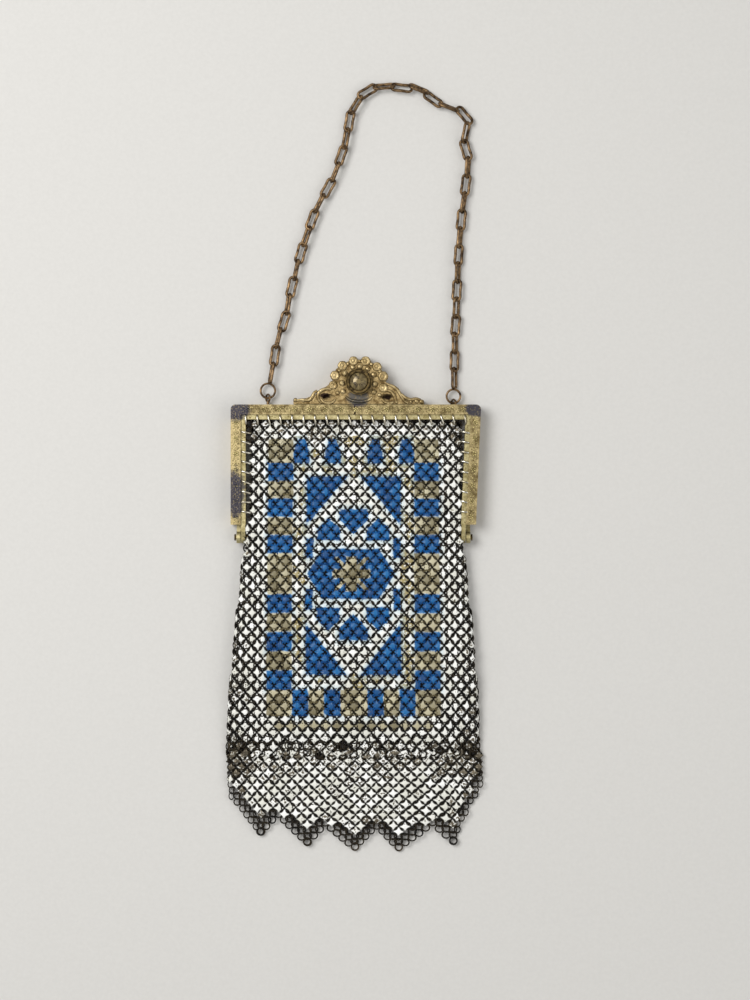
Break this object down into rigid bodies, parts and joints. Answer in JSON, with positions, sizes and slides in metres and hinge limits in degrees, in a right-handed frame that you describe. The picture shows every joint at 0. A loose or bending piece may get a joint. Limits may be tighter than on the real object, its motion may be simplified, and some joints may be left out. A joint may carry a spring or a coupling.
{
  "type": "evening bag",
  "caption": "Flat enamelled metal-mesh evening bag with a hinged gilt frame, openwork crest with a stone push button, and a long-link chain handle.",
  "frame": {"origin": "centre of the bag's outline, without its chain, on the surface that the bag lies on", "axes": "X across the bag, to the right seen from the front; +Y from the skirt's points to the crest and the chain; +Z out of the bag's front, with the bag lying on its back"},
  "size_m": [0.106, 0.319, 0.0113],
  "materials": {
    "gilt_brass": "embossed, gilt, worn and oxidised in places",
    "old_brass": "plain strip, dulled",
    "dark_brass": "brown oxidised wire",
    "silver_wire": "dull silvered wire",
    "spring_steel": "plain spring steel",
    "paste_stone": "faceted paste, foil backed",
    "enamelled_mesh": "baked enamel on metal tiles, worn"
  },
  "bodies": {
    "back_frame_and_bag": {"back_frame_channel": "gilt_brass", "back_mesh_rail": "old_brass", "hinge_rivet_left": "gilt_brass", "hinge_rivet_right": "gilt_brass", "crest_back": "gilt_brass", "catch_anchor": "spring_steel", "chain_eye_left": "silver_wire", "chain_eye_right": "silver_wire", "back_mesh_panel": "enamelled_mesh", "mesh_pouch": "enamelled_mesh", "mesh_skirt": "enamelled_mesh", "drop_ring_1": "dark_brass", "drop_ring_2": "dark_brass", "drop_ring_3": "dark_brass", "drop_ring_4": "dark_brass", "drop_ring_5": "dark_brass"},
    "front_frame": {"front_frame_channel": "gilt_brass", "front_mesh_rail": "old_brass", "crest_front": "gilt_brass", "front_mesh_panel": "enamelled_mesh", "button_collar": "gilt_brass", "catch_keeper": "spring_steel"},
    "clasp_button": {"stone_bezel": "old_brass", "paste_stone": "paste_stone", "button_stem": "spring_steel"},
    "catch": {"catch_tongue": "spring_steel"},
    "carry_chain": {"chain_ring_left": "silver_wire", "chain_ring_right": "silver_wire", "handle_chain": "dark_brass"}
  },
  "joints": [
    {"name": "frame_hinge", "type": "hinge", "parent": "back_frame_and_bag", "child": "front_frame", "pos_m": [0, 0.02785, 0.004], "axis": [1, 0, 0], "range_deg": [0, 100]},
    {"name": "button_press", "type": "slide", "parent": "front_frame", "child": "clasp_button", "axis": [0, 0, -1], "range_m": [0, 0.001], "stiffness_N_per_m": 400},
    {"name": "catch_bend", "type": "hinge", "parent": "back_frame_and_bag", "child": "catch", "pos_m": [0.0011, 0.08595, 0.00325], "axis": [1, 0, 0], "range_deg": [-10, 0.5]},
    {"name": "chain_swing", "type": "hinge", "parent": "back_frame_and_bag", "child": "carry_chain", "pos_m": [-0.0365, 0.08555, 0.00195], "axis": [0.9996, -0.0273, 0], "range_deg": [-95, 85]}
  ],
  "couplings": [
    {"joint": "catch_bend", "follows": "button_press", "rad_per_m": -163.93}
  ]
}
